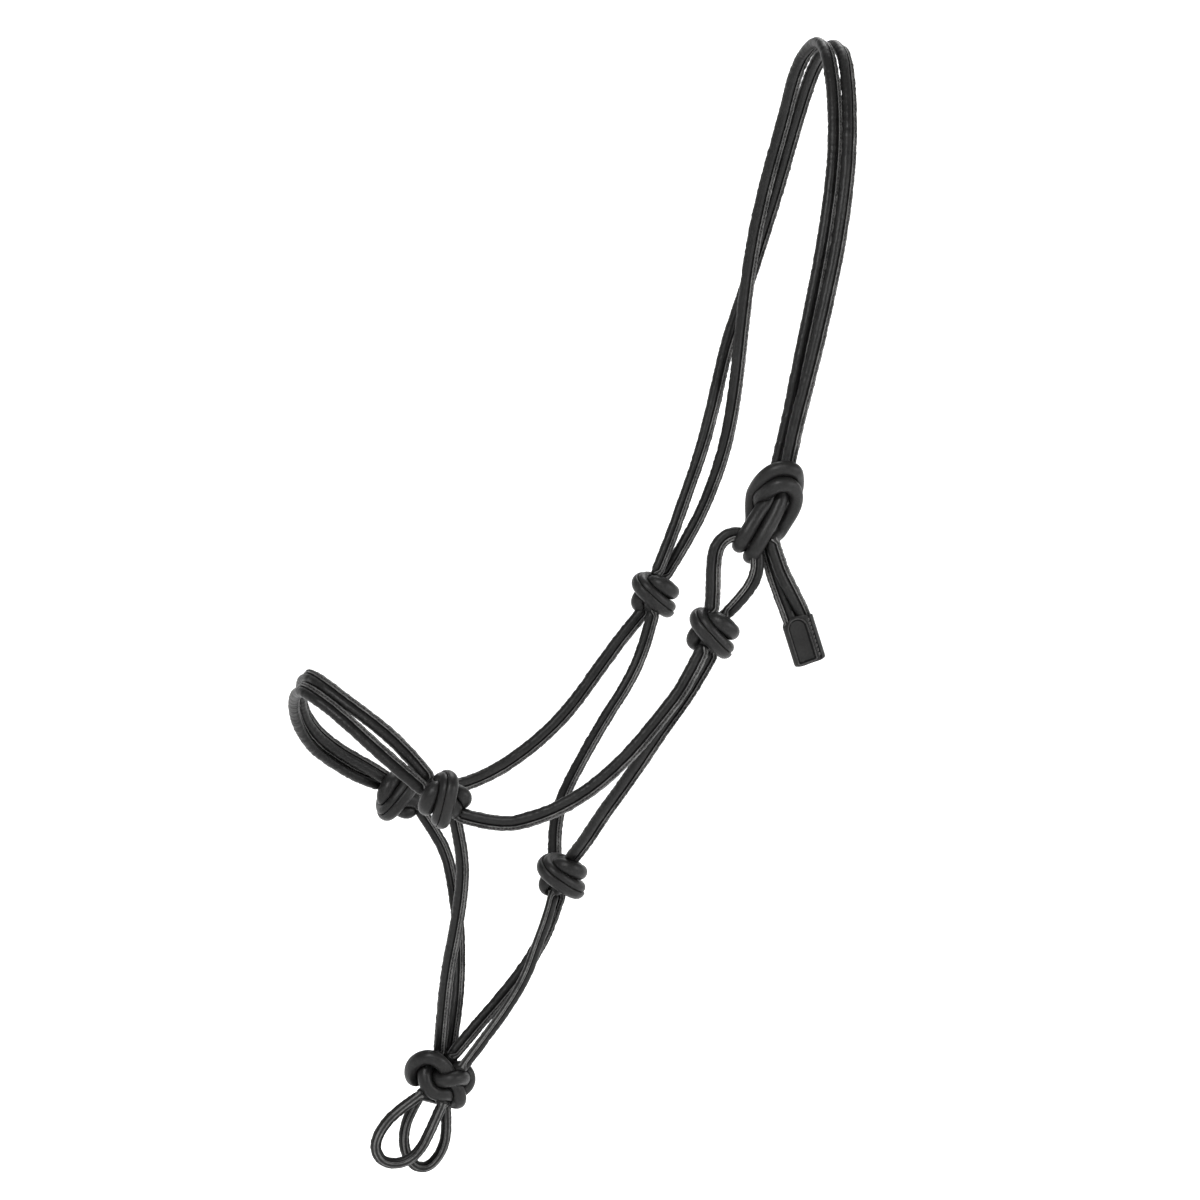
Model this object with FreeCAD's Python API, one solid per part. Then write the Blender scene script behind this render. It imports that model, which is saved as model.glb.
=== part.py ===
import FreeCAD, Part
import math
import os

# Rope halter of rolled leather cord, open in the shape that it has on a horse's head.
# Millimetres. +Z is up, the muzzle points along -X and the horse's near (left) side is -Y.
# The origin is the inside of the crown's top, where it rests on the poll.
# A cord is a leather cover rolled round a filler core. Each knot is one closed solid, and
# the cords that run into it stop at its surface.

CORD = 9.5           # outer diameter of every cord, midway between its round body and its seam
COVER_WALL = 1.4     # thickness of the rolled leather
ARC_SHARE = 0.45     # share of the shorter run that each bend takes up
JOINT_GAP = 0.4      # clearance between a knot and a cord that turns about it
LOOP_GAP = 0.3       # clearance round the tie loop inside the tie knot
SMALL_KNOT = 17.0    # radius of the cheek, throat and nose knots
CHIN_KNOT = 21.0     # radius of the chin knot
TIE_KNOT_TOP = 19.0  # radius of the tie knot's wrapped part
TIE_KNOT_LOW = 14.0  # radius of the tie knot's turn round the tie loop

# Knot centres. The cheek hinge runs through the two cheek knots, and the noseband hinge
# through the two nose knots. The lead loops turn about the chin knot's centre, and the
# tail about the lower end of the tie knot.
NEAR_CHEEK = (-111, -100, -423)
FAR_CHEEK = (-108, 100, -408)
THROAT = (-203, -2, -609)
NEAR_NOSE = (-305, -74, -539)
FAR_NOSE = (-312, 76, -556)
CHIN = (-293, 0, -757)
TIE_TOP = (-66, -98, -322)
TIE_LOW = (-78, -98, -350)

# Tab at the tail's end: a leather sleeve over both cord ends, with a patch on its face.
TAB_TOP = (-49, -96, -412)
TAB_LENGTH = 36.0
TAB_WIDTH = 24.0
TAB_DEPTH = 12.0
TAB_CORNER = 4.5
TAB_LEAN = 18.0      # degrees from upright, the lower end towards +X
PATCH_WIDTH = 14.0
PATCH_LENGTH = 30.0
PATCH_THICK = 1.2
PATCH_SHIFT = -3.0   # from the tab's middle towards -X
STITCH_COUNT = 9
STITCH_LENGTH = 2.2
STITCH_RADIUS = 0.45
STITCH_PITCH = 3.3
STITCH_SHIFT = 7.0   # from the tab's middle towards +X

# The near crown leg runs up from the tie knot, and the far one down to the far cheek knot.
CROWN_FRONT = [
    (-63, -93, -308), (-55, -92, -279), (-47, -93, -236), (-35, -89, -186), (-24, -81, -139),
    (-13, -67, -85), (-8, -48, -37), (-7, -22, 2), (-7, 12, 7), (-12, 42, -8),
    (-16, 66, -48), (-26, 82, -96), (-35, 92, -149), (-40, 97, -202), (-45, 101, -258),
    (-52, 103, -298), (-65, 105, -337), (-83, 105, -371), (-100, 104, -397),
]
CROWN_REAR = [
    (-58, -102, -309), (-52, -102, -279), (-40, -101, -236), (-27, -97, -186), (-14, -85, -139),
    (-4, -73, -85), (2, -52, -37), (6, -22, 0), (5, 12, 5), (1, 42, -8),
    (-5, 69, -47), (-14, 88, -96), (-26, 103, -145), (-40, 109, -191), (-50, 110, -221),
    (-60, 108, -264), (-70, 105, -299), (-85, 102, -339), (-98, 98, -372), (-108, 96, -394),
]
TIE_LOOP = [
    (-113, -102, -410), (-111, -100, -392), (-111, -99, -375), (-108, -98, -360),
    (-97, -98, -352), (-84, -99, -355), (-79, -102, -369), (-81, -104, -384),
    (-90, -101, -398), (-102, -97, -411),
]
NEAR_CHEEK_CORD = [
    (-119, -104, -433), (-132, -106, -459), (-153, -109, -484), (-177, -108, -512),
    (-206, -104, -537), (-237, -97, -553), (-266, -88, -560), (-294, -79, -551),
]
FAR_CHEEK_CORD = [
    (-114, 104, -420), (-131, 106, -440), (-151, 107, -467), (-177, 107, -502),
    (-209, 103, -529), (-242, 95, -547), (-276, 86, -555), (-299, 79, -553),
]
NEAR_THROAT_CORD = [
    (-110, -95, -436), (-125, -91, -465), (-145, -85, -493), (-163, -71, -526),
    (-181, -48, -559), (-191, -29, -583), (-200, -12, -600),
]
FAR_THROAT_CORD = [
    (-110, 94, -421), (-116, 94, -445), (-129, 89, -473), (-152, 79, -503),
    (-175, 62, -534), (-194, 42, -560), (-203, 22, -583), (-205, 7, -599),
]
NEAR_JAW_CORD = [
    (-209, -7, -620), (-214, -10, -637), (-223, -13, -658), (-231, -13, -681),
    (-244, -11, -703), (-259, -11, -723), (-279, -12, -748),
]
FAR_JAW_CORD = [
    (-202, 1, -621), (-208, 3, -641), (-218, 3, -663), (-233, 2, -684),
    (-250, 2, -704), (-267, 1, -722), (-285, -2, -742),
]
NEAR_CHIN_CORD = [
    (-294, -68, -550), (-287, -65, -577), (-285, -56, -605), (-288, -43, -640),
    (-292, -30, -671), (-293, -15, -704), (-293, 2, -740),
]
FAR_CHIN_CORD = [
    (-297, 74, -565), (-285, 71, -583), (-276, 62, -602), (-273, 50, -628),
    (-272, 37, -656), (-274, 26, -684), (-278, 16, -712), (-285, 8, -743),
]
NOSEBAND_UPPER = [
    (-311, -69, -528), (-323, -69, -510), (-342, -65, -489), (-367, -57, -470),
    (-386, -43, -455), (-390, -19, -452), (-388, 8, -463), (-386, 31, -481),
    (-375, 49, -500), (-356, 62, -518), (-336, 69, -531), (-318, 72, -545),
]
NOSEBAND_LOWER = [
    (-316, -80, -534), (-331, -77, -521), (-354, -70, -501), (-378, -61, -480),
    (-397, -46, -465), (-398, -21, -464), (-398, 7, -477), (-393, 31, -494),
    (-380, 51, -515), (-357, 66, -532), (-338, 75, -543), (-324, 80, -548),
]
NEAR_LEAD_LOOP = [
    (-308, -8, -767), (-322, -8, -776), (-336, -8, -788), (-344, -8, -804),
    (-338, -8, -817), (-323, -8, -819), (-310, -8, -811), (-301, -8, -794), (-292, -8, -774),
]
FAR_LEAD_LOOP = [
    (-305, 7, -769), (-316, 7, -786), (-320, 7, -806), (-314, 7, -823), (-302, 7, -827),
    (-291, 7, -816), (-286, 7, -798), (-288, 7, -774),
]
TAIL_LEFT = [
    (-72, -92, -358), (-66, -90, -378), (-60, -91, -396), (-54, -96, -414),
    (-49, -96, -430), (-43, -96, -446),
]
TAIL_RIGHT = [
    (-69, -102, -356), (-63, -101, -376), (-54, -101, -393), (-44, -96, -410),
    (-38, -96, -427), (-33, -96, -443),
]

# name: route and trims. A trim is a knot's centre, its radius and the gap.
CORDS = {
    "crown_front_cord": (CROWN_FRONT, [
        (TIE_TOP, TIE_KNOT_TOP, 0.0), (FAR_CHEEK, SMALL_KNOT, JOINT_GAP)]),
    "crown_rear_cord": (CROWN_REAR, [
        (TIE_TOP, TIE_KNOT_TOP, 0.0), (FAR_CHEEK, SMALL_KNOT, JOINT_GAP)]),
    "tie_loop": (TIE_LOOP, [(NEAR_CHEEK, SMALL_KNOT, JOINT_GAP)]),
    "near_cheek_cord": (NEAR_CHEEK_CORD, [
        (NEAR_CHEEK, SMALL_KNOT, 0.0), (NEAR_NOSE, SMALL_KNOT, 0.0)]),
    "far_cheek_cord": (FAR_CHEEK_CORD, [
        (FAR_CHEEK, SMALL_KNOT, 0.0), (FAR_NOSE, SMALL_KNOT, 0.0)]),
    "near_throat_cord": (NEAR_THROAT_CORD, [
        (NEAR_CHEEK, SMALL_KNOT, 0.0), (THROAT, SMALL_KNOT, 0.0)]),
    "far_throat_cord": (FAR_THROAT_CORD, [
        (FAR_CHEEK, SMALL_KNOT, 0.0), (THROAT, SMALL_KNOT, 0.0)]),
    "near_jaw_cord": (NEAR_JAW_CORD, [
        (THROAT, SMALL_KNOT, 0.0), (CHIN, CHIN_KNOT, 0.0)]),
    "far_jaw_cord": (FAR_JAW_CORD, [
        (THROAT, SMALL_KNOT, 0.0), (CHIN, CHIN_KNOT, 0.0)]),
    "near_chin_cord": (NEAR_CHIN_CORD, [
        (NEAR_NOSE, SMALL_KNOT, 0.0), (CHIN, CHIN_KNOT, 0.0)]),
    "far_chin_cord": (FAR_CHIN_CORD, [
        (FAR_NOSE, SMALL_KNOT, 0.0), (CHIN, CHIN_KNOT, 0.0)]),
    "noseband_upper_cord": (NOSEBAND_UPPER, [
        (NEAR_NOSE, SMALL_KNOT, JOINT_GAP), (FAR_NOSE, SMALL_KNOT, JOINT_GAP)]),
    "noseband_lower_cord": (NOSEBAND_LOWER, [
        (NEAR_NOSE, SMALL_KNOT, JOINT_GAP), (FAR_NOSE, SMALL_KNOT, JOINT_GAP)]),
    "near_lead_loop": (NEAR_LEAD_LOOP, [(CHIN, CHIN_KNOT, JOINT_GAP)]),
    "far_lead_loop": (FAR_LEAD_LOOP, [(CHIN, CHIN_KNOT, JOINT_GAP)]),
    "tail_left_cord": (TAIL_LEFT, [(TIE_LOW, TIE_KNOT_LOW, JOINT_GAP)]),
    "tail_right_cord": (TAIL_RIGHT, [(TIE_LOW, TIE_KNOT_LOW, JOINT_GAP)]),
}
KNOTS = {
    "near_cheek_knot": (NEAR_CHEEK, SMALL_KNOT),
    "far_cheek_knot": (FAR_CHEEK, SMALL_KNOT),
    "throat_knot": (THROAT, SMALL_KNOT),
    "near_nose_knot": (NEAR_NOSE, SMALL_KNOT),
    "far_nose_knot": (FAR_NOSE, SMALL_KNOT),
    "chin_knot": (CHIN, CHIN_KNOT),
}


def save(name, shape):
    """Writes one sub-part, after a test that it is sound."""
    if not shape.isValid():
        raise ValueError(name + " is not a valid shape")
    shape.exportStep("parts/" + name + ".step")


def bend_radii(points):
    """The arc radius at each inner point of a route."""
    radii = []
    for before, corner, after in zip(points, points[1:], points[2:]):
        run_in = corner - before
        run_out = after - corner
        half_turn = run_in.getAngle(run_out) / 2
        radii.append(ARC_SHARE * min(run_in.Length, run_out.Length) / math.tan(half_turn))
    return radii


def route_wire(points):
    """Straight runs joined by tangent arcs."""
    edges = []
    start = points[0]
    for before, corner, after in zip(points, points[1:], points[2:]):
        reach = ARC_SHARE * min((corner - before).Length, (after - corner).Length)
        towards = (before - corner).normalize()
        onwards = (after - corner).normalize()
        arc_in = corner + towards * reach
        arc_out = corner + onwards * reach
        half_turn = (towards * -1).getAngle(onwards) / 2
        radius = reach / math.tan(half_turn)
        to_centre = (towards + onwards).normalize()
        sagitta = radius / math.cos(half_turn) - radius
        edges.append(Part.LineSegment(start, arc_in).toShape())
        edges.append(Part.Arc(arc_in, corner + to_centre * sagitta, arc_out).toShape())
        start = arc_out
    edges.append(Part.LineSegment(start, points[-1]).toShape())
    return Part.Wire(edges)


def tube(wire, radius):
    """A solid round rod along a wire."""
    first = wire.Edges[0]
    start = first.valueAt(first.FirstParameter)
    along = first.tangentAt(first.FirstParameter)
    disc = Part.Wire(Part.Circle(start, along, radius).toShape())
    return wire.makePipeShell([disc], True, False)


def ball(centre, radius):
    return Part.makeSphere(radius, FreeCAD.Vector(*centre))


def trimmed(shape, trims):
    """Cuts a cord back to the surface of each knot that it runs into."""
    for centre, radius, gap in trims:
        shape = shape.cut(ball(centre, radius + gap))
    return shape


def make_cord(name, route, trims):
    """A cover and its core, with the bend radii and the volume printed."""
    points = [FreeCAD.Vector(*point) for point in route]
    wire = route_wire(points)
    rod = tube(wire, CORD / 2)
    core = tube(wire, CORD / 2 - COVER_WALL)
    ratio = rod.Volume / (math.pi * CORD ** 2 / 4 * wire.Length)
    smallest = min(bend_radii(points))
    radii = " ".join("%.0f" % radius for radius in bend_radii(points))
    print("%s length %.0f mm, volume ratio %.3f, smallest radius %.1f d, radii %s"
          % (name, wire.Length, ratio, smallest / CORD, radii))
    save(name, trimmed(rod.cut(core), trims))
    save(name + "_core", trimmed(core, trims))
    return rod


def make_tie_knot(loop_wire):
    """The crown's wrapped end: two lobes, with a passage for the tie loop."""
    passage = tube(loop_wire, CORD / 2 + LOOP_GAP)
    lobes = ball(TIE_TOP, TIE_KNOT_TOP).fuse(ball(TIE_LOW, TIE_KNOT_LOW)).removeSplitter()
    save("tie_knot", lobes.cut(passage))


def tab_placement():
    """Tab frame: local X across, local Y out of the back, local Z up along the tab."""
    turn = FreeCAD.Rotation(FreeCAD.Vector(0, 1, 0), -TAB_LEAN)
    return FreeCAD.Placement(FreeCAD.Vector(*TAB_TOP), turn)


def make_tab(cord_rods):
    """The sleeve over both cord ends, its face patch and the row of stitches beside it."""
    block = Part.makeBox(TAB_WIDTH, TAB_DEPTH, TAB_LENGTH,
                         FreeCAD.Vector(-TAB_WIDTH / 2, -TAB_DEPTH / 2, -TAB_LENGTH))
    long_edges = [edge for edge in block.Edges
                  if abs(edge.Vertexes[0].Z - edge.Vertexes[1].Z) > TAB_LENGTH / 2]
    sleeve = block.makeFillet(TAB_CORNER, long_edges)
    sleeve.Placement = tab_placement()
    for rod in cord_rods:
        sleeve = sleeve.cut(rod)
    save("tab_sleeve", sleeve)

    arch = PATCH_WIDTH / 2
    face = -TAB_DEPTH / 2
    foot = -TAB_LENGTH + 2
    plate = Part.makeBox(PATCH_WIDTH, PATCH_THICK, PATCH_LENGTH - arch,
                         FreeCAD.Vector(PATCH_SHIFT - arch, face - PATCH_THICK, foot))
    crown = Part.makeCylinder(arch, PATCH_THICK,
                              FreeCAD.Vector(PATCH_SHIFT, face - PATCH_THICK,
                                             foot + PATCH_LENGTH - arch),
                              FreeCAD.Vector(0, 1, 0))
    patch = plate.fuse(crown).removeSplitter()
    patch.Placement = tab_placement()
    save("tab_patch", patch)

    stitches = []
    for number in range(STITCH_COUNT):
        top = -TAB_LENGTH / 2 + (STITCH_COUNT / 2 - number) * STITCH_PITCH
        base = FreeCAD.Vector(STITCH_SHIFT, face - STITCH_RADIUS, top - STITCH_LENGTH)
        stitches.append(Part.makeCylinder(STITCH_RADIUS, STITCH_LENGTH, base))
    row = Part.makeCompound(stitches)
    row.Placement = tab_placement()
    save("tab_stitches", row)


os.makedirs("parts", exist_ok=True)
rods = {name: make_cord(name, *cord) for name, cord in CORDS.items()}
for name, (centre, radius) in KNOTS.items():
    save(name, ball(centre, radius))
make_tie_knot(route_wire([FreeCAD.Vector(*point) for point in TIE_LOOP]))
make_tab([rods["tail_left_cord"], rods["tail_right_cord"]])
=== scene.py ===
import math

import bpy
import numpy as np
from mathutils import Matrix, Vector


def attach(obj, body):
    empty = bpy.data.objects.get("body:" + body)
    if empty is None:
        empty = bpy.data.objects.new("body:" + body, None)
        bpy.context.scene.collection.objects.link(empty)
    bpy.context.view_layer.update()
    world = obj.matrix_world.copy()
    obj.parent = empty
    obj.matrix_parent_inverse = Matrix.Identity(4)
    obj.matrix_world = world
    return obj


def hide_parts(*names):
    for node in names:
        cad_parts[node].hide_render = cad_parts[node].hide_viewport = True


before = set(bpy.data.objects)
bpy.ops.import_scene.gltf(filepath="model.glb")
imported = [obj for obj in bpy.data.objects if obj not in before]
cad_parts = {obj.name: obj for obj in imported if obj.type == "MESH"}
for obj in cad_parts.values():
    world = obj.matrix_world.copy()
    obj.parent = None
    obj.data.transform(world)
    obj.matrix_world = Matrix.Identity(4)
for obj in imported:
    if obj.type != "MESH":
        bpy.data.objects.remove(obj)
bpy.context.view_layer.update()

MM = 0.001

# Camera: a long lens a few degrees in front of the near side and a little above it.
VIEW_AZIMUTH = math.radians(-12)
VIEW_ELEVATION = math.radians(4)
VIEW_DISTANCE = 2.6
VIEW_SPAN = 0.888            # metres across the picture at that distance
VIEW_TARGET = (-0.171, 0.007, -0.4062)
SENSOR = 36.0

# Light: soft all round, with three square lamps: name, place, side in metres and power in watts.
WORLD_LIGHT = 0.5
LAMPS = [
    ("key", (-1.2, -2.2, 1.5), 0.5, 74),
    ("fill", (2.0, -1.6, 0.2), 0.5, 30),
    ("back", (0.5, 1.4, 1.6), 1.2, 30),
]

# The paper: a round floor that sweeps up into a low wall, in metres.
PAPER_GLOW = 0.6
PAPER_FLAT = 12.0            # radius of the flat part
PAPER_SWEEP = 3.0            # radius of the sweep at its edge
PAPER_WALL = 6.0             # height of the wall's top
PAPER_LEVEL = -1.0
PAPER_AROUND = 96

# Rolled cord: a round body and a flat seam along it.
BODY = 4.0 * MM
SEAM_SHIFT = 1.8             # from the round body's middle to the whole cord's, in mm
STITCH_PITCH = 2.6 * MM
STITCH_HALF = 0.8 * MM
STITCH_RADIUS = 0.36 * MM
STITCH_UP = 4.05 * MM         # the row's distance from the cord's middle
STITCH_OUT = 1.05 * MM        # and from the seam's own middle plane
ROUND_END = 4.4 * MM         # the cord's radius where it goes into a knot
SEAM_FADE = 5 * MM           # the stretch over which the seam sinks in there
RING_STEP = 1.0 * MM
WRINKLE = 0.09 * MM
STITCH_BAR = ((-1, 0.45), (-0.7, 0.95), (0, 1.05), (0.7, 0.95), (1, 0.45))   # along, width

# Routes in millimetres: the CAD model's points, with a few of the noseband's moved.
ROUTES = {
    "crown_front_cord": [
        (-63, -93, -308), (-55, -92, -279), (-47, -93, -236), (-35, -89, -186), (-24, -81, -139),
        (-13, -67, -85), (-8, -48, -37), (-7, -22, 2), (-7, 12, 7), (-12, 42, -8),
        (-16, 66, -48), (-26, 82, -96), (-35, 92, -149), (-40, 97, -202), (-45, 101, -258),
        (-52, 103, -298), (-65, 105, -337), (-83, 105, -371), (-100, 104, -397),
    ],
    "crown_rear_cord": [
        (-58, -102, -309), (-52, -102, -279), (-40, -101, -236), (-27, -97, -186), (-14, -85, -139),
        (-4, -73, -85), (2, -52, -37), (6, -22, 0), (5, 12, 5), (1, 42, -8),
        (-5, 69, -47), (-14, 88, -96), (-26, 103, -145), (-40, 109, -191), (-50, 110, -221),
        (-60, 108, -264), (-70, 105, -299), (-85, 102, -339), (-98, 98, -372), (-108, 96, -394),
    ],
    "tie_loop": [
        (-113, -102, -410), (-111, -100, -392), (-111, -99, -375), (-108, -98, -360),
        (-97, -98, -352), (-84, -99, -355), (-79, -102, -369), (-81, -104, -384),
        (-90, -101, -398), (-102, -97, -411),
    ],
    "near_cheek_cord": [
        (-119, -104, -433), (-132, -106, -459), (-153, -109, -484), (-177, -108, -512),
        (-206, -104, -537), (-237, -97, -553), (-266, -88, -560), (-294, -79, -551),
    ],
    "far_cheek_cord": [
        (-114, 104, -420), (-131, 106, -440), (-151, 107, -467), (-177, 107, -502),
        (-209, 103, -529), (-242, 95, -547), (-276, 86, -555), (-299, 79, -553),
    ],
    "near_throat_cord": [
        (-110, -95, -436), (-125, -91, -465), (-145, -85, -493), (-163, -71, -526),
        (-181, -48, -559), (-191, -29, -583), (-200, -12, -600),
    ],
    "far_throat_cord": [
        (-110, 94, -421), (-116, 94, -445), (-129, 89, -473), (-152, 79, -503),
        (-175, 62, -534), (-194, 42, -560), (-203, 22, -583), (-205, 7, -599),
    ],
    "near_jaw_cord": [
        (-209, -7, -620), (-214, -10, -637), (-223, -13, -658), (-231, -13, -681),
        (-244, -11, -703), (-259, -11, -723), (-279, -12, -748),
    ],
    "far_jaw_cord": [
        (-202, 1, -621), (-208, 3, -641), (-218, 3, -663), (-233, 2, -684),
        (-250, 2, -704), (-267, 1, -722), (-285, -2, -742),
    ],
    "near_chin_cord": [
        (-294, -68, -550), (-287, -65, -577), (-285, -56, -605), (-288, -43, -640),
        (-292, -30, -671), (-293, -15, -704), (-293, 2, -740),
    ],
    "far_chin_cord": [
        (-297, 74, -565), (-285, 71, -583), (-276, 62, -602), (-273, 50, -628),
        (-272, 37, -656), (-274, 26, -684), (-278, 16, -712), (-285, 8, -743),
    ],
    "noseband_upper_cord": [
        (-311, -69, -528), (-324, -69, -511), (-344, -65, -491), (-369, -57, -472),
        (-388, -43, -457), (-394, -19, -455), (-393, 8, -466), (-390, 31, -485),
        (-378, 49, -504), (-357, 62, -521), (-336, 69, -533), (-318, 72, -545),
    ],
    "noseband_lower_cord": [
        (-316, -80, -534), (-331, -77, -521), (-354, -70, -500), (-377, -61, -478),
        (-396, -46, -464), (-399, -21, -465), (-399, 7, -477), (-393, 31, -495),
        (-380, 51, -515), (-357, 66, -532), (-338, 75, -543), (-324, 80, -548),
    ],
    "near_lead_loop": [
        (-308, -8, -767), (-322, -8, -776), (-336, -8, -788), (-344, -8, -804),
        (-338, -8, -817), (-323, -8, -819), (-310, -8, -811), (-301, -8, -794), (-292, -8, -774),
    ],
    "far_lead_loop": [
        (-305, 7, -769), (-316, 7, -786), (-320, 7, -806), (-314, 7, -823), (-302, 7, -827),
        (-291, 7, -816), (-286, 7, -798), (-288, 7, -774),
    ],
    "tail_left_cord": [
        (-72, -92, -358), (-66, -90, -378), (-60, -91, -396), (-54, -96, -414),
        (-49, -96, -430), (-43, -96, -446),
    ],
    "tail_right_cord": [
        (-69, -102, -356), (-63, -101, -376), (-54, -101, -393), (-44, -96, -410),
        (-38, -96, -427), (-33, -96, -443),
    ],
}

# Which way each cord's seam points: at a share of the cord's length, the direction there.
CROWN_SEAM = [(0, (1, -0.5, 0)), (0.8, (1, -0.4, 0)), (0.9, (0.6, -0.8, 0)), (1, (0.6, -0.8, 0))]
SEAMS = {
    "crown_front_cord": CROWN_SEAM,
    "crown_rear_cord": CROWN_SEAM,
    "tie_loop": [(0, (1, -0.5, 0)), (1, (-1, -0.5, 0))],
    "near_cheek_cord": [(0, (1, -0.4, 0)), (1, (0, -0.2, -1))],
    "far_cheek_cord": [(0, (1, -0.3, -0.5)), (1, (0, -0.2, -1))],
    "near_throat_cord": [(0, (1, -0.3, -0.3)), (1, (1, -0.3, -0.3))],
    "far_throat_cord": [(0, (0.6, -0.8, 0)), (1, (0.6, -0.8, 0))],
    "near_jaw_cord": [(0, (-0.6, -0.8, 0)), (1, (-0.6, -0.8, 0))],
    "far_jaw_cord": [(0, (0.7, -0.7, 0)), (1, (0.7, -0.7, 0))],
    "near_chin_cord": [(0, (0.5, -0.85, 0)), (1, (0.5, -0.85, 0))],
    "far_chin_cord": [(0, (0.6, -0.8, 0)), (1, (0.6, -0.8, 0))],
    "noseband_upper_cord": [(0, (1, -0.4, 1)), (1, (1, 0.4, 1))],
    "noseband_lower_cord": [(0, (1, -0.4, 1)), (1, (1, 0.4, 1))],
    "near_lead_loop": [(0, (0, -1, 0.3)), (1, (0, -1, 0.3))],
    "far_lead_loop": [(0, (0, -1, 0)), (1, (0, -1, 0))],
    "tail_left_cord": [(0, (-1, -0.4, 0)), (1, (-1, -0.4, 0))],
    "tail_right_cord": [(0, (1, -0.4, 0)), (1, (1, -0.4, 0))],
}
# The body each cord moves with, where that isn't the headstall. The hinges pass through the
# middles of the knots, so a cord swings about the knot that holds it.
BODY_OF = {
    "crown_front_cord": "crown", "crown_rear_cord": "crown", "tie_loop": "crown",
    "noseband_upper_cord": "noseband", "noseband_lower_cord": "noseband",
    "near_lead_loop": "near_loop", "far_lead_loop": "far_loop",
    "tail_left_cord": "tail", "tail_right_cord": "tail",
}


def unit(vector):
    """The vector at length 1."""
    vector = np.asarray(vector, float)
    return vector / np.linalg.norm(vector)


def make_camera():
    """A camera that looks at the target from the set azimuth and elevation."""
    sa, ca = math.sin(VIEW_AZIMUTH), math.cos(VIEW_AZIMUTH)
    se, ce = math.sin(VIEW_ELEVATION), math.cos(VIEW_ELEVATION)
    back = Vector((sa * ce, -ca * ce, se))
    right = Vector((ca, sa, 0))
    up = back.cross(right)
    data = bpy.data.cameras.new("camera")
    data.sensor_width = SENSOR
    data.lens = SENSOR * VIEW_DISTANCE / VIEW_SPAN
    data.clip_end = 50
    camera = bpy.data.objects.new("camera", data)
    camera.matrix_world = Matrix.Translation(Vector(VIEW_TARGET) + back * VIEW_DISTANCE) @ Matrix(
        (right, up, back)).transposed().to_4x4()
    bpy.context.scene.collection.objects.link(camera)
    bpy.context.scene.camera = camera


def spline_line(points):
    """The points of a smooth NURBS curve whose control points are these, in metres."""
    data = bpy.data.curves.new("route", "CURVE")
    data.dimensions = "3D"
    data.resolution_u = 24
    spline = data.splines.new("NURBS")
    spline.points.add(len(points) - 1)
    for place, point in zip(spline.points, points):
        place.co = (point[0] * MM, point[1] * MM, point[2] * MM, 1)
    spline.order_u = 3
    spline.use_endpoint_u = True
    holder = bpy.data.objects.new("route", data)
    bpy.context.scene.collection.objects.link(holder)
    bpy.context.view_layer.update()
    mesh = bpy.data.meshes.new_from_object(holder.evaluated_get(bpy.context.evaluated_depsgraph_get()))
    line = np.array([vertex.co[:] for vertex in mesh.vertices])
    bpy.data.objects.remove(holder)
    bpy.data.curves.remove(data)
    bpy.data.meshes.remove(mesh)
    return line


def spaced(line, step):
    """The same line with evenly spaced points, and the distance along it of each."""
    steps = np.linalg.norm(np.diff(line, axis=0), axis=1)
    along = np.concatenate([[0], np.cumsum(steps)])
    count = max(2, int(round(along[-1] / step)) + 1)
    places = np.linspace(0, along[-1], count)
    return np.stack([np.interp(places, along, line[:, k]) for k in range(3)], axis=1), places


def tangents(line):
    """The unit direction of the line at each of its points."""
    return np.array([unit(v) for v in np.gradient(line, axis=0)])


def carried(line, first):
    """A normal carried along the line without twist, starting as near to first as it can."""
    along = tangents(line)
    normal = unit(first - along[0] * np.dot(first, along[0]))
    normals = [normal]
    for place in range(1, len(line)):
        normal = normal - along[place] * np.dot(normal, along[place])
        normal = unit(normal)
        normals.append(normal)
    return along, np.array(normals)


def seam_frames(line, seam):
    """The seam's direction along a line, turned smoothly from each key to the next."""
    along, normals = carried(line, np.array(seam[0][1], float))
    sides = np.cross(along, normals)
    share = np.linspace(0, 1, len(line))
    turns = []
    for where, way in seam:
        k = int(round(where * (len(line) - 1)))
        turns.append(math.atan2(np.dot(way, sides[k]), np.dot(way, normals[k])))
    angle = np.interp(share, [where for where, _ in seam], np.unwrap(turns))[:, None]
    out = normals * np.cos(angle) + sides * np.sin(angle)
    return along, out, np.cross(along, out)


def cord_profile():
    """Half of the section, from the seam's edge round to the back: (out, sideways) in metres."""
    seam = [(7.3, 0.0), (7.25, 0.8), (7.0, 1.4), (6.65, 1.55), (6.4, 1.2), (6.2, 0.95),
            (5.5, 0.95), (5.3, 1.4), (4.8, 2.0), (4.35, 1.5), (4.1, 0.7)]
    angles = [12, 32, 50, 70, 90, 112, 135, 158, 180]
    body = [(3.7 * math.cos(math.radians(a)), 4.1 * math.sin(math.radians(a))) for a in angles]
    return [((out - SEAM_SHIFT) * MM, side * MM) for out, side in seam + body]


def round_profile(count):
    """Half of a plain round section with the same number of points."""
    angles = [math.pi * k / (count - 1) for k in range(count)]
    return [(ROUND_END * math.cos(a), ROUND_END * math.sin(a)) for a in angles]


def both_halves(half):
    """The whole section from its first half."""
    return np.array(half + [(out, -side) for out, side in half[-2:0:-1]])


SECTION = both_halves(cord_profile())
ROUND = both_halves(round_profile(len(cord_profile())))
# The finish of each step of the half section: 0 body, 1 seam, 2 groove with painted shade, 3 ridge edge
# with painted highlight and wear. 4 is thread.
BODY_FINISH, THREAD_FINISH = 0, 4
STEP_FINISH = [0, 3, 3, 3, 2, 1, 2, 3, 3, 2, 2, 2] + [0] * 7


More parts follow.
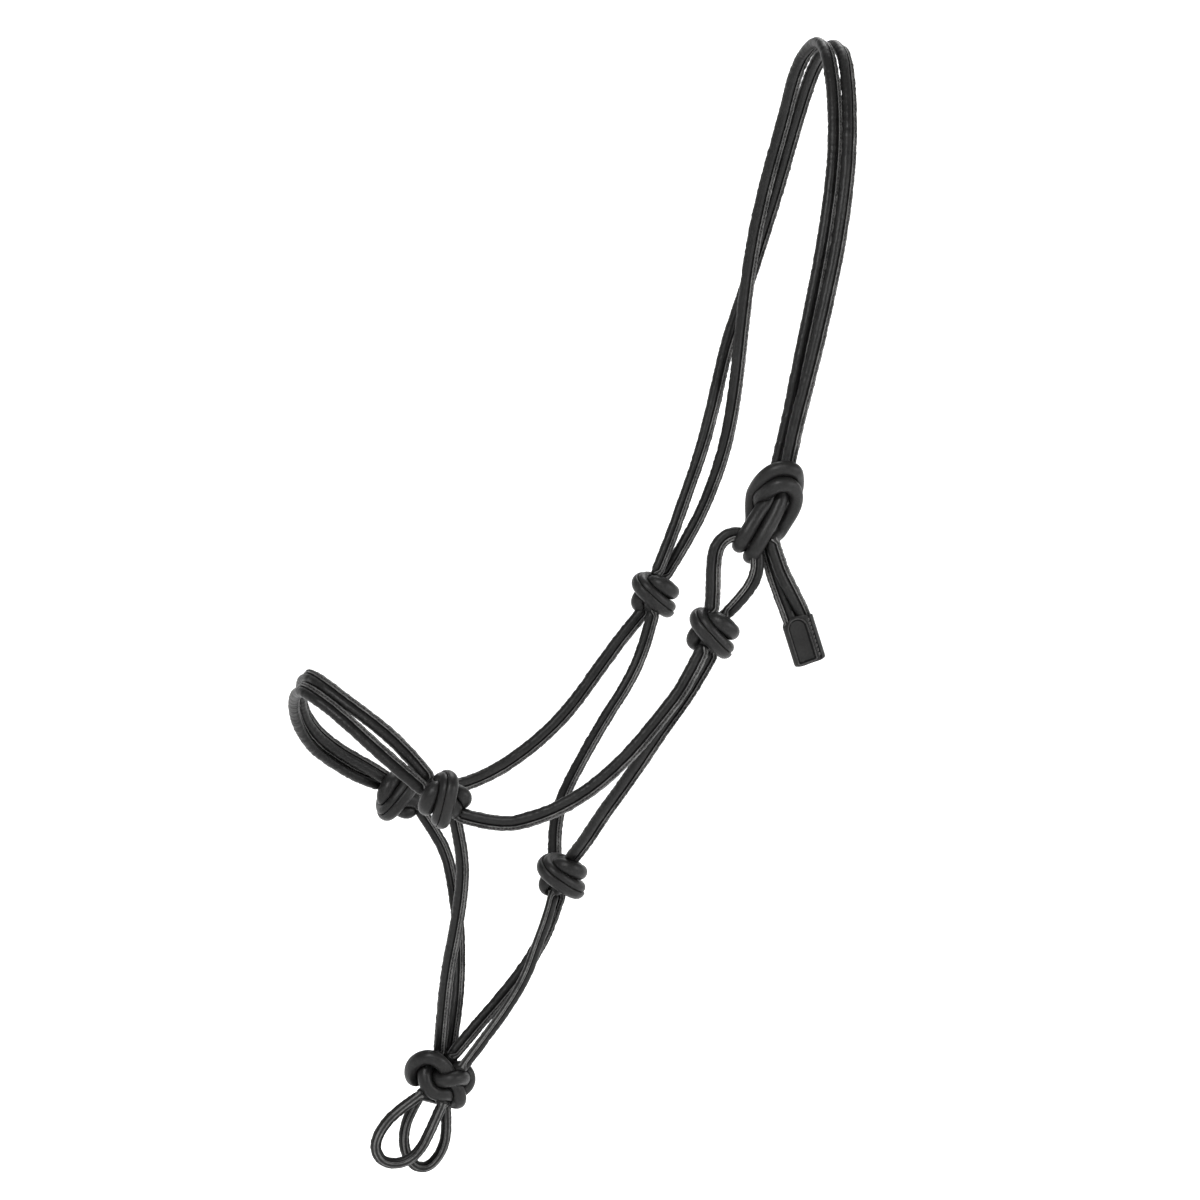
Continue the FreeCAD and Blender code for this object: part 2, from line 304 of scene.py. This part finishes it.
def capped(rings, around, start=0):
    """The faces of a closed tube of rings."""
    last = start + (rings - 1) * around
    return ring_faces(rings, around, start) + [
        tuple(start + k for k in range(around - 1, -1, -1)), tuple(last + k for k in range(around))]


def fade(places, length):
    """0 at both ends of a line, 1 past length from them."""
    near = np.minimum(places, places[-1] - places) / length
    near = np.clip(near, 0, 1)
    return near * near * (3 - 2 * near)


def new_mesh(name, verts, faces, materials, indices=None):
    mesh = bpy.data.meshes.new(name)
    mesh.from_pydata([tuple(v) for v in verts], [], faces)
    for material in materials:
        mesh.materials.append(material)
    if indices is not None:
        mesh.polygons.foreach_set("material_index", indices)
    mesh.polygons.foreach_set("use_smooth", [True] * len(faces))
    mesh.update()
    piece = bpy.data.objects.new(name, mesh)
    bpy.context.scene.collection.objects.link(piece)
    return piece


def ring_faces(rings, around, start=0):
    """Quads between neighbouring rings."""
    faces = []
    for ring in range(rings - 1):
        for k in range(around):
            n = (k + 1) % around
            a = start + ring * around
            faces.append((a + k, a + n, a + around + n, a + around + k))
    return faces


def stitch_mesh(line, places, along, out, side, rng):
    """A row of short thread bars on both faces of the seam."""
    verts, faces = [], []
    count = int((places[-1] - 2 * SEAM_FADE) / STITCH_PITCH)
    for number in range(count + 1):
        k = int(np.searchsorted(places, SEAM_FADE + number * STITCH_PITCH))
        for face in (-1, 1):
            middle = line[k] + out[k] * STITCH_UP + side[k] * face * STITCH_OUT
            tilt = unit(along[k] + out[k] * (0.12 * face + rng.uniform(-0.05, 0.05)))
            across = unit(np.cross(side[k], tilt))
            first = len(verts)
            for step, width in STITCH_BAR:
                for a in range(6):
                    angle = a * math.pi / 3
                    verts.append(middle + tilt * step * STITCH_HALF
                                 + (across * math.cos(angle) + side[k] * math.sin(angle))
                                 * STITCH_RADIUS * width)
            faces += capped(len(STITCH_BAR), 6, first)
    return verts, faces


def wrinkles(rings, around, rng):
    """Small uneven swellings of the leather: across the cord, and longer ones along it."""
    fine = rng.normal(0, 1, (rings, around))
    for axis, times in ((1, 3), (0, 1)):
        for _ in range(times):
            fine = (np.roll(fine, 1, axis) + 2 * fine + np.roll(fine, -1, axis)) / 4
    fine /= fine.std()
    return fine * WRINKLE


def make_cord(name, materials, rng):
    """A rolled cord along its route: body, stitched seam and thread."""
    line, places = spaced(spline_line(ROUTES[name]), RING_STEP)
    along, out, side = seam_frames(line, SEAMS[name])
    around = len(SECTION)
    share = fade(places, SEAM_FADE)[:, None, None]
    section = ROUND[None] * (1 - share) + SECTION[None] * share
    section = section * (1 + wrinkles(len(line), around, rng) / BODY)[:, :, None]
    rings = (line[:, None, :] + out[:, None, :] * section[:, :, :1]
             + side[:, None, :] * section[:, :, 1:])
    verts = list(rings.reshape(-1, 3))
    faces = capped(len(line), around)
    finish = STEP_FINISH + STEP_FINISH[::-1]
    indices = [finish[f % around] for f in range(len(faces) - 2)] + [BODY_FINISH] * 2
    more, more_faces = stitch_mesh(line, places, along, out, side, rng)
    base = len(verts)
    verts += more
    faces += [tuple(base + k for k in face) for face in more_faces]
    indices += [THREAD_FINISH] * len(more_faces)
    piece = new_mesh(name + "_leather", verts, faces, materials, indices)
    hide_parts(name, name + "_core")
    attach(piece, BODY_OF.get(name, "headstall"))
    return line


# Knots: strands settle against each other as they are drawn tight.
STRANDS = (6.0 * MM, 4.5 * MM)       # the front and the back strand's radius in a small knot
BIG_STRAND = 5.45 * MM       # and in the tie knot and the chin knot
TIGHT_GAP = 9.6 * MM         # between turns of a small knot's doubled cord
BIG_GAP = 6.7 * MM           # between strands of the two large knots
LAY_STEP = 2.0 * MM          # between points as an overhand knot settles
TIGHT_STEP = 1.5 * MM        # and once it is tight
LAID_STEP = 1.7 * MM         # and in the two large knots
PAIR = ((-0.6, 0.3), (2.7, -0.3))    # the two cords of a turn: sideways, outwards, in mm
KNOT_REACH = 9.0 * MM        # the knot ends and its leads begin this far from its middle
KNOT_FADE = 7 * MM           # the stretch over which a strand thins to the cord it meets
KNOT_RING_STEP = 1.1 * MM
PRESSED_GAP = 0.04 * MM      # left between two strands that press each other flat
# An overhand knot laid loosely: x to the right, y away, z up, in millimetres.
OVERHAND_LAY = [
    (1, 8, 25), (1, 8, 15), (-2, 7, 7), (-7, 4, -1), (-12, -1, -5), (-14, 4, -6), (-8, 11, -7),
    (2, 13, -8), (9, 8, -11), (11, 0, -12.5), (8, -8, -11), (2, -11, -6), (-6, -11, 3),
    (-10, -8, 10), (-11, 0, 12.5), (-7, 8, 11), (2, 12, 8), (9, 11, 3), (14, 5, 0.5),
    (13.5, -5, 2.2), (9, -10, 6.4), (2, -10, 9.8), (-4, -5, 10.5), (-6, 1, 5), (-5, 2, -4),
    (-4, 2, -13), (-6, 2, -25),
]


def settle(strands, gap, steps, held, bend):
    """Moves points so that each strand keeps its spacing and no two come closer than gap.

    held points at each end stay where they are. bend is how strongly a strand straightens.
    """
    sizes = [len(s) for s in strands]
    points = np.concatenate(strands).astype(float)
    owner = np.repeat(np.arange(len(sizes)), sizes)
    index = np.concatenate([np.arange(n) for n in sizes])
    first = np.cumsum([0] + sizes[:-1])
    last = first + np.array(sizes) - 1
    count = np.array(sizes)[owner]
    free = ((index >= held) & (index < count - held)).astype(float)
    a = np.array([k for k in range(len(points) - 1) if owner[k] == owner[k + 1]])
    rest = np.linalg.norm(points[a + 1] - points[a], axis=1)
    for k in range(len(sizes)):
        rest[owner[a] == k] = rest[owner[a] == k].mean()
    groups = [index[a] % 2 == 0, index[a] % 2 == 1]
    inner = np.array([k for k in range(len(points)) if free[k]])
    apart = np.abs(index[:, None] - index[None, :])
    other = owner[:, None] != owner[None, :]
    upper = np.triu(np.ones_like(other), 1)
    skip = max(2, math.ceil(1.25 * gap / rest.min()))
    near = upper & (other | (apart > skip))
    for _ in range(steps):
        points[inner] += bend * (0.5 * (points[inner - 1] + points[inner + 1]) - points[inner])
        for turn in range(6):
            for group in groups:
                p, q, want = a[group], a[group] + 1, rest[group][:, None]
                gone = points[q] - points[p]
                size = np.maximum(np.linalg.norm(gone, axis=1, keepdims=True), 1e-9)
                fp, fq = free[p][:, None], free[q][:, None]
                push = (size - want) / size * gone / np.maximum(fp + fq, 1e-9)
                points[p] += fp * push
                points[q] -= fq * push
            if turn % 2:
                gaps = points[:, None, :] - points[None, :, :]
                square = (gaps ** 2).sum(-1)
                i, j = np.nonzero(near & (square < gap ** 2))
                if len(i):
                    size = np.sqrt(square[i, j])[:, None]
                    push = 0.5 * (gap - size) / np.maximum(size, 1e-9) * gaps[i, j]
                    total, hits = np.zeros_like(points), np.zeros(len(points))
                    np.add.at(total, i, push)
                    np.add.at(total, j, -push)
                    np.add.at(hits, i, 1)
                    np.add.at(hits, j, 1)
                    points += total / np.maximum(1, hits * 0.6)[:, None] * free[:, None]
    return [points[f:l + 1] for f, l in zip(first, last)]


def tight_overhand():
    """An overhand knot in a doubled cord, drawn tight along Z: its two strands, in metres."""
    line = spaced(spline_line(OVERHAND_LAY), LAY_STEP)[0]
    line = settle([line], TIGHT_GAP, 30, held=2, bend=0.06)[0]
    line = spaced(smoothed(line, 4), TIGHT_STEP)[0]
    along = tangents(line)
    outward = line.copy()
    for _ in range(7):
        outward = unit_rows(outward - along * (outward * along).sum(1)[:, None])
        outward = smoothed(outward, 1)
    across = unit_rows(np.cross(along, outward))
    return [line + across * sideways * MM + outward * out * MM for sideways, out in PAIR]


def unit_rows(rows):
    """Each row at length 1."""
    return rows / np.maximum(np.linalg.norm(rows, axis=1, keepdims=True), 1e-12)


def turned(strands, roll, mirror):
    """The strands, mirrored or not, turned about the view's axis and to face the camera."""
    turn = np.array(Matrix.Rotation(VIEW_AZIMUTH, 3, "Z")
                    @ Matrix.Rotation(math.radians(roll), 3, "Y"))
    return [(s * [mirror, 1, 1]) @ turn.T for s in strands]


def hermite(p, tp, q, tq, count):
    """A smooth line from p to q that leaves along tp and arrives along tq."""
    k = np.linspace(0, 1, count)[:, None]
    return ((2 * k ** 3 - 3 * k ** 2 + 1) * p + (k ** 3 - 2 * k ** 2 + k) * tp
            + (-2 * k ** 3 + 3 * k ** 2) * q + (k ** 3 - k ** 2) * tq)


def led_out(strand, centre, reach, top, bottom):
    """The strand cut where it leaves the knot and led on to its two cords."""
    inside = np.nonzero(np.linalg.norm(strand - centre, axis=1) < reach)[0]
    core = strand[inside[0]:inside[-1] + 1]
    step = np.linalg.norm(np.diff(core, axis=0), axis=1).mean()
    parts = [core]
    for here, before, goal, at_end in ((core[0], core[2], top, 0), (core[-1], core[-3], bottom, 1)):
        end, away = goal
        size = np.linalg.norm(end - here)
        count = max(5, int(size / step) + 2)
        lead = hermite(here, unit(here - before) * size, end, unit(away) * size, count)
        if at_end:
            parts = parts + [lead[1:]]
        else:
            parts = [lead[::-1][:-1]] + parts
    return spaced(np.concatenate(parts), step)[0]


def strand_tubes(lines, radii, around=28):
    """Tubes round the lines, pressed flat where two of them meet."""
    lines, places = zip(*[spaced(smoothed(line, 3), KNOT_RING_STEP) for line in lines])
    verts, faces = [], []
    for k, line in enumerate(lines):
        along, normal = carried(line, np.array([0.31, 0.52, 0.79]))
        side = np.cross(along, normal)
        angle = np.linspace(0, 2 * math.pi, around, endpoint=False)[None, :, None]
        radius = radii[k]
        size = ROUND_END + (radius - ROUND_END) * fade(places[k], KNOT_FADE)
        ring = (normal[:, None] * np.cos(angle) + side[:, None] * np.sin(angle)) * size[:, None, None]
        tube = (line[:, None] + ring).reshape(-1, 3)
        centre = np.repeat(line, around, axis=0)
        own = np.repeat(np.arange(len(line)), around)
        skip = int(1.6 * 2 * radius / KNOT_RING_STEP)
        for _ in range(2):
            for j, other in enumerate(lines):
                square = ((tube[:, None] - other[None]) ** 2).sum(-1)
                if j == k:
                    square[np.abs(own[:, None] - np.arange(len(other))[None]) < skip] = 1
                near = other[square.argmin(1)]
                gone = near - centre
                size = np.linalg.norm(gone, axis=1)
                gone = gone / np.maximum(size, 1e-9)[:, None]
                share = radius / (radius + radii[j])
                over = ((tube - centre - (near - centre) * share) * gone).sum(1) + PRESSED_GAP
                pressed = (size < 1.1 * (radius + radii[j])) & (over > 0)
                tube[pressed] -= gone[pressed] * over[pressed][:, None]
        faces += capped(len(line), around, len(verts))
        verts += list(tube)
    return verts, faces


def smoothed(line, times):
    """The line with its small kinks evened out, and its ends kept."""
    for _ in range(times):
        line = np.concatenate([line[:1], (line[:-2] + 2 * line[1:-1] + line[2:]) / 4, line[-1:]])
    return line


def cord_end(name, place, lines):
    """The end point of a cord and the direction in which the cord leaves there."""
    line = lines[name]
    if place == 0:
        return line[0], unit(line[4] - line[0])
    return line[-1], unit(line[-5] - line[-1])


def make_knot(node, lines, knot, tops, bottoms, roll, mirror, material, centre):
    """A tight overhand knot on four cord ends."""
    centre = np.array(centre) * MM
    strands = [s + centre for s in turned(knot, roll, mirror)]
    tops = [cord_end(*end, lines) for end in tops]
    bottoms = [cord_end(*end, lines) for end in bottoms]
    for place, ends in ((0, tops), (-1, bottoms)):
        straight = [np.linalg.norm(strands[k][place] - ends[k][0]) for k in (0, 1)]
        crossed = [np.linalg.norm(strands[k][place] - ends[1 - k][0]) for k in (0, 1)]
        if sum(crossed) < sum(straight):
            ends.reverse()
    strands = [led_out(s, centre, KNOT_REACH, tops[k], bottoms[k]) for k, s in enumerate(strands)]
    finish_knot(node, strands, STRANDS, material)


def finish_knot(node, strands, radii, material, body="headstall"):
    """Makes the strands' tubes one piece that stands for the node."""
    verts, faces = strand_tubes(strands, radii)
    piece = new_mesh(node + "_leather", verts, faces, [material])
    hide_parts(node)
    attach(piece, body)


def laid_knot(node, paths, lines, material, body):
    """A knot whose strands are laid along listed points between cord ends, then settled."""
    strands = []
    for start, points, end in paths:
        first, away = cord_end(*start, lines)
        last, leave = cord_end(*end, lines)
        route = [first + away * 2 * MM, first] + [np.array(p) * MM for p in points]
        route += [last, last + leave * 2 * MM]
        strands.append(spaced(spline_line([tuple(p / MM) for p in route]), LAID_STEP)[0])
    strands = settle(strands, BIG_GAP, 90, held=3, bend=0.05)
    finish_knot(node, strands, [BIG_STRAND] * len(strands), material, body)


# The tie knot's two strands and the chin knot's four, laid along listed points from cord to cord.
TIE_PATHS = [
    (("crown_front_cord", 0), [
        (-65, -94, -317), (-73, -98, -332), (-84, -104, -346), (-92, -104, -359), (-92, -95, -363),
        (-81, -86, -354), (-77, -84, -342), (-80, -88, -326), (-76, -104, -312), (-65, -109, -304),
        (-52, -105, -307), (-47, -94, -320), (-53, -88, -337), (-63, -86, -348),
    ], ("tail_left_cord", 0)),
    (("crown_rear_cord", 0), [
        (-58, -98, -320), (-65, -102, -337), (-75, -106, -352), (-83, -104, -367), (-84, -94, -371),
        (-74, -86, -360), (-70, -84, -347), (-74, -88, -333), (-75, -104, -323), (-65, -110, -316),
        (-54, -108, -318), (-49, -98, -330), (-55, -94, -343), (-62, -90, -353),
    ], ("tail_right_cord", 0)),
]
CHIN_PATHS = [
    (("near_chin_cord", 1), [
        (-302, -4, -744), (-307, -10, -751), (-306, -13, -760), (-298, -12, -768), (-287, -4, -771),
        (-277, -2, -767), (-271, -2, -759), (-275, -1, -750), (-282, 6, -750), (-292, 8, -757),
        (-298, 6, -766),
    ], ("far_lead_loop", 0)),
    (("near_jaw_cord", 1), [(-285, -7, -753), (-293, -5, -759), (-295, -4, -766)], ("near_lead_loop", 1)),
    (("far_chin_cord", 1), [
        (-289, 4, -749), (-297, -5, -753), (-298, -12, -757), (-291, -18, -755), (-283, -18, -754),
        (-276, -10, -756), (-278, 0, -760), (-281, 6, -765),
    ], ("far_lead_loop", 1)),
    (("far_jaw_cord", 1), [
        (-287, 6, -748), (-294, 14, -753), (-304, 12, -757), (-311, 6, -761), (-315, 0, -754),
        (-315, -6, -746), (-311, -12, -740), (-303, -17, -737), (-295, -18, -742), (-289, -13, -751),
        (-283, -8, -762), (-280, -10, -771), (-280, -4, -776), (-285, 2, -774), (-295, 2, -772),
        (-304, -4, -768),
    ], ("near_lead_loop", 0)),
]
# Overhand knots: node, centre, cord ends above and below, roll and mirror.
OVERHANDS = [
    ("near_cheek_knot", (-112, -103, -423), [("tie_loop", 0), ("tie_loop", 1)],
     [("near_cheek_cord", 0), ("near_throat_cord", 0)], 4, 1),
    ("far_cheek_knot", (-109, 96, -409), [("crown_rear_cord", 1), ("crown_front_cord", 1)],
     [("far_cheek_cord", 0), ("far_throat_cord", 0)], -2, 1),
    ("throat_knot", (-203, -10, -609), [("far_throat_cord", 1), ("near_throat_cord", 1)],
     [("near_jaw_cord", 0), ("far_jaw_cord", 0)], -8, 1),
    ("near_nose_knot", (-304, -84, -540), [("noseband_lower_cord", 0), ("noseband_upper_cord", 0)],
     [("near_chin_cord", 0), ("near_cheek_cord", 1)], -32, -1),
    ("far_nose_knot", (-313, 70, -556), [("noseband_lower_cord", 1), ("noseband_upper_cord", 1)],
     [("far_chin_cord", 0), ("far_cheek_cord", 1)], -95, 1),
]


# The tab: a sleeve of leather over both free ends, a patch with a raised rim, a row of stitches.
TAB_TOP = (-49, -96, -412)
TAB_LEAN = 18.0              # degrees from upright
TAB_LENGTH = 36.0
TAB_HALF = 12.0
TAB_FLAT = 4.9               # half thickness between the two cords
TAB_BULGE = 5.7              # and over each cord
TAB_CORDS = 6.2              # each cord's distance from the tab's middle
TAB_CORNER = 2.2
PATCH_SHIFT = -3.0
PATCH_HALF = 7.7
PATCH_FOOT = -34.6
PATCH_HEAD = -0.9
STITCH_SHIFT = 7.0           # the row of stitches' distance from the tab's middle
CHANNEL_FOOT = -33.5
CHANNEL_HEAD = -3
TAB_STITCHES = 9
TAB_PITCH = 3.3
TAB_BAR = ((-1, 0.4), (-0.7, 0.9), (0, 1.05), (0.7, 0.9), (1, 0.4))    # along, width


def tab_matrix():
    """The tab's place: its top at TAB_TOP, leaning back from upright."""
    return Matrix.Translation(Vector(TAB_TOP) * MM) @ Matrix.Rotation(math.radians(-TAB_LEAN), 4, "Y")


def sleeve_half(u, w):
    """Half the sleeve's thickness at u across and w along it, in millimetres."""
    over = TAB_BULGE ** 2 - (abs(u) - TAB_CORDS) ** 2
    bulge = math.sqrt(over) if over > 0 else 0
    half = max(bulge, TAB_FLAT if abs(u) < TAB_CORDS else 0)
    tip = min(1.0, (w + TAB_LENGTH) / 2.2)
    mouth = min(1.0, -w / 1.2)
    return half * (0.72 + 0.28 * math.sqrt(max(0, tip))) * (0.9 + 0.1 * math.sqrt(max(0, mouth)))


def channel_depth(u, w):
    """How deep the stitched channel beside the patch is, in millimetres."""
    if not CHANNEL_FOOT < w < CHANNEL_HEAD:
        return 0
    return 0.75 * math.exp(-((u - STITCH_SHIFT) / 0.75) ** 2)


def top_drop(u):
    """How far the sleeve's top edge falls away beside the arch of the patch, in millimetres."""
    if u < PATCH_SHIFT:
        return 6.0 * (abs(u - PATCH_SHIFT) / (TAB_HALF + PATCH_SHIFT)) ** 2
    return 3.0 * (abs(u - PATCH_SHIFT) / (TAB_HALF - PATCH_SHIFT)) ** 2


def make_sleeve(materials):
    """The sleeve: a flat pocket with a round bulge over each cord."""
    verts, finish = [], []
    steps, count = 54, 72
    for k in range(steps + 1):
        w = -TAB_LENGTH * k / steps
        down = max(0, TAB_CORNER - (w + TAB_LENGTH))
        width = TAB_HALF
        if down:
            width -= TAB_CORNER - math.sqrt(max(0, TAB_CORNER ** 2 - down ** 2))
        for n in range(count):
            angle = 2 * math.pi * n / count
            u = width * math.cos(angle)
            half = sleeve_half(u * TAB_HALF / width, w)
            if math.sin(angle) < 0:
                half = half - channel_depth(u, w)
            flat = min(1, abs(math.sin(angle)) * 8)
            low = w - top_drop(u) * max(0, 1 + w / 20)
            verts.append(Vector((u, half * np.sign(math.sin(angle)) * flat, low)) * MM)
            # The stitched channel takes the second look, painted shade in the channel.
            in_channel = math.sin(angle) < 0 and abs(u - STITCH_SHIFT) < 0.9
            finish.append(1 if in_channel else 0)
    faces = capped(steps + 1, count)
    return new_mesh("tab_sleeve_leather", verts, faces, materials, finish[:steps * count] + [0, 0])


def patch_outline(inset, count=60):
    """The patch's border: an arched top and small round corners below."""
    half = PATCH_HALF - inset
    head, foot = PATCH_HEAD - inset, PATCH_FOOT + inset
    points = []
    for k in range(count // 2):
        angle = math.pi * k / (count // 2 - 1)
        points.append((half * math.cos(angle), head - half + half * math.sin(angle)))
    corner = max(0.4, 2.0 - inset)
    for side, first in ((-1, 180), (1, 270)):
        for k in range(count // 4):
            angle = math.radians(first + 90 * k / (count // 4 - 1))
            points.append((side * (half - corner) + corner * math.cos(angle),
                           foot + corner + corner * math.sin(angle)))
    return points


def make_patch(materials):
    """The patch on the face: a raised rim round a slightly sunken panel."""
    rings = [(0, -0.6), (0, 0.9), (0.25, 1.3), (0.6, 1.45), (1.0, 1.25), (1.25, 0.4), (2.2, 0.25),
             (3.4, 0.3)]     # inset from the border, height above the sleeve
    # Finish of each ring step: the outer wall, the rim's inner slope and the panel's border take painted
    # shade (second look), the rim's crest a painted highlight (third look).
    finish = [1, 0, 2, 2, 1, 1, 0]
    verts, count = [], len(patch_outline(0))
    for inset, height in rings:
        for u, w in patch_outline(inset):
            verts.append(Vector((u + PATCH_SHIFT, -(TAB_FLAT + 0.45 + height), w)) * MM)
    faces = ring_faces(len(rings), count)
    indices = [finish[k // count] for k in range(len(faces))] + [0, 0]
    faces.append(tuple((len(rings) - 1) * count + k for k in range(count)))
    faces.append(tuple(range(count - 1, -1, -1)))
    return new_mesh("tab_patch_leather", verts, faces, materials, indices)


def make_tab_stitches(material):
    """The stitches in the channel beside the patch."""
    verts, faces = [], []
    for number in range(TAB_STITCHES):
        middle = -TAB_LENGTH / 2 + ((TAB_STITCHES - 1) / 2 - number) * TAB_PITCH
        first = len(verts)
        for step, width in TAB_BAR:
            for a in range(8):
                angle = a * math.pi / 4
                verts.append(Vector((STITCH_SHIFT + 0.55 * width * math.cos(angle) + 0.25 * step,
                                     -TAB_FLAT - 0.35 + 0.5 * width * math.sin(angle),
                                     middle + step * 1.15)) * MM)
        faces += capped(len(TAB_BAR), 8, first)
    return new_mesh("tab_stitches_thread", verts, faces, [material])


def make_tab(leather_look, groove_painted_shade_look, rim_painted_highlight_look, thread_look):
    """The three pieces of the tab, which move with the tail."""
    place = tab_matrix()
    for piece, node, finish in (
            (make_sleeve([leather_look, groove_painted_shade_look]), "tab_sleeve", "tab_leather"),
            (make_patch([leather_look, groove_painted_shade_look, rim_painted_highlight_look]), "tab_patch", "tab_leather"),
            (make_tab_stitches(thread_look), "tab_stitches", "thread")):
        piece.matrix_world = place
        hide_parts(node)
        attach(piece, "tail")


def leather(name, dark, light, rough, grain, depth):
    """Black leather: uneven colour and sheen, a fine grain and soft creases across."""
    material = bpy.data.materials.new(name)
    material.use_nodes = True
    nodes = material.node_tree.nodes
    links = material.node_tree.links
    shader = nodes["Principled BSDF"]
    shader.inputs["Specular IOR Level"].default_value = 0.18
    coords = nodes.new("ShaderNodeTexCoord")
    cells = nodes.new("ShaderNodeTexVoronoi")
    cells.inputs["Scale"].default_value = grain
    noise = nodes.new("ShaderNodeTexNoise")
    noise.inputs["Scale"].default_value = grain * 0.4
    noise.inputs["Detail"].default_value = 5
    broad = nodes.new("ShaderNodeTexNoise")
    broad.inputs["Scale"].default_value = 60
    broad.inputs["Detail"].default_value = 3
    for texture in (cells, noise, broad):
        links.new(coords.outputs["Object"], texture.inputs["Vector"])
    mixed = nodes.new("ShaderNodeMath")
    mixed.operation = "MULTIPLY_ADD"
    mixed.inputs[1].default_value = 0.5
    links.new(noise.outputs["Fac"], mixed.inputs[0])
    half = nodes.new("ShaderNodeMath")
    half.operation = "MULTIPLY"
    half.inputs[1].default_value = 0.5
    links.new(broad.outputs["Fac"], half.inputs[0])
    links.new(half.outputs["Value"], mixed.inputs[2])
    ramp = nodes.new("ShaderNodeValToRGB")
    ramp.color_ramp.elements[0].position = 0.38
    ramp.color_ramp.elements[0].color = (*dark, 1)
    ramp.color_ramp.elements[1].position = 0.64
    ramp.color_ramp.elements[1].color = (*light, 1)
    links.new(mixed.outputs["Value"], ramp.inputs["Fac"])
    links.new(ramp.outputs["Color"], shader.inputs["Base Color"])
    sheen = nodes.new("ShaderNodeMapRange")
    sheen.inputs["To Min"].default_value = rough - 0.08
    sheen.inputs["To Max"].default_value = rough + 0.12
    links.new(broad.outputs["Fac"], sheen.inputs["Value"])
    links.new(sheen.outputs["Result"], shader.inputs["Roughness"])
    grains = nodes.new("ShaderNodeBump")
    grains.inputs["Strength"].default_value = 0.55
    grains.inputs["Distance"].default_value = depth
    links.new(cells.outputs["Distance"], grains.inputs["Height"])
    creases = nodes.new("ShaderNodeBump")
    creases.inputs["Strength"].default_value = 0.5
    creases.inputs["Distance"].default_value = depth * 2
    links.new(noise.outputs["Fac"], creases.inputs["Height"])
    links.new(grains.outputs["Normal"], creases.inputs["Normal"])
    links.new(creases.outputs["Normal"], shader.inputs["Normal"])
    return material


def make_stage():
    """A pale round floor that sweeps up into a low wall, and soft light from three lamps."""
    profile = [(0.05, 0.0), (PAPER_FLAT * 0.5, 0.0), (PAPER_FLAT, 0.0)]
    for k in range(1, 13):
        angle = k * math.pi / 24
        profile.append((PAPER_FLAT + PAPER_SWEEP * math.sin(angle),
                        PAPER_SWEEP * (1 - math.cos(angle))))
    profile.append((PAPER_FLAT + PAPER_SWEEP, PAPER_WALL))
    turns = [2 * math.pi * k / PAPER_AROUND for k in range(PAPER_AROUND)]
    verts = [(out * math.cos(turn), out * math.sin(turn), z + PAPER_LEVEL)
             for out, z in profile for turn in turns]
    faces = ring_faces(len(profile), PAPER_AROUND)
    faces.append(tuple(range(PAPER_AROUND - 1, -1, -1)))
    pale = bpy.data.materials.new("pale_paper")
    pale.use_nodes = True
    shader = pale.node_tree.nodes["Principled BSDF"]
    shader.inputs["Base Color"].default_value = (0.95, 0.95, 0.95, 1)
    shader.inputs["Roughness"].default_value = 0.95
    shader.inputs["Emission Color"].default_value = (1, 1, 1, 1)
    shader.inputs["Emission Strength"].default_value = PAPER_GLOW
    new_mesh("paper", verts, faces, [pale])
    world = bpy.data.worlds.new("studio")
    world.use_nodes = True
    world.node_tree.nodes["Background"].inputs["Color"].default_value = (1, 1, 1, 1)
    world.node_tree.nodes["Background"].inputs["Strength"].default_value = WORLD_LIGHT
    bpy.context.scene.world = world
    bpy.context.scene.view_settings.view_transform = "Standard"
    for name, place, size, power in LAMPS:
        data = bpy.data.lights.new(name, "AREA")
        data.size = size
        data.energy = power
        lamp = bpy.data.objects.new(name, data)
        lamp.location = place
        aim = Vector(VIEW_TARGET) - Vector(place)
        lamp.rotation_euler = aim.to_track_quat("-Z", "Y").to_euler()
        bpy.context.scene.collection.objects.link(lamp)


make_camera()
make_stage()
# Looks: name, darkest and lightest base colour, roughness, grain scale and depth of the bumps.
LEATHER = leather("rolled_leather_look", (0.002, 0.002, 0.002), (0.007, 0.0069, 0.0067),
                  0.4, 1400, 0.00012)
SEAM = leather("seam_leather_look", (0.001, 0.001, 0.001), (0.04, 0.039, 0.038),
               0.6, 900, 0.0003)
# Painted shade: the grooves and creases beside the seam, and the hollows of the tab, get a near black
# look that stands in for the shade falling in them.
GROOVE_SHADE = leather("groove_painted_shade_look", (0.0003, 0.0003, 0.0003), (0.001, 0.001, 0.001),
                 0.9, 900, 0.0002)
# Painted highlight, partly wear: the ridge edges of the seam get a lighter look that stands in for the
# light they catch.
RIDGE_HIGHLIGHT_WEAR = leather("ridge_painted_highlight_and_wear_look", (0.028, 0.028, 0.028), (0.105, 0.104, 0.102),
               0.42, 1400, 0.00012)
THREAD = leather("thread_look", (0.02, 0.02, 0.02), (0.09, 0.088, 0.086),
                 0.6, 2500, 0.0001)
KNOTTED = leather("knotted_leather_look", (0.004, 0.004, 0.004), (0.010, 0.0098, 0.0096),
                  0.4, 1400, 0.00012)
# Painted highlight: the crest of the patch's raised rim gets a lighter look that stands in for the light
# it catches.
RIM_HIGHLIGHT = leather("patch_rim_painted_highlight_look", (0.008, 0.008, 0.008), (0.04, 0.0395, 0.039),
              0.42, 1400, 0.00012)
rng = np.random.default_rng(7)
LINES = {name: make_cord(name, [LEATHER, SEAM, GROOVE_SHADE, RIDGE_HIGHLIGHT_WEAR, THREAD], rng) for name in ROUTES}
OVERHAND = tight_overhand()
for node, centre, tops, bottoms, roll, mirror in OVERHANDS:
    make_knot(node, LINES, OVERHAND, tops, bottoms, roll, mirror, KNOTTED, centre)
laid_knot("tie_knot", TIE_PATHS, LINES, KNOTTED, "crown")
laid_knot("chin_knot", CHIN_PATHS, LINES, KNOTTED, "headstall")
make_tab(KNOTTED, GROOVE_SHADE, RIM_HIGHLIGHT, THREAD)
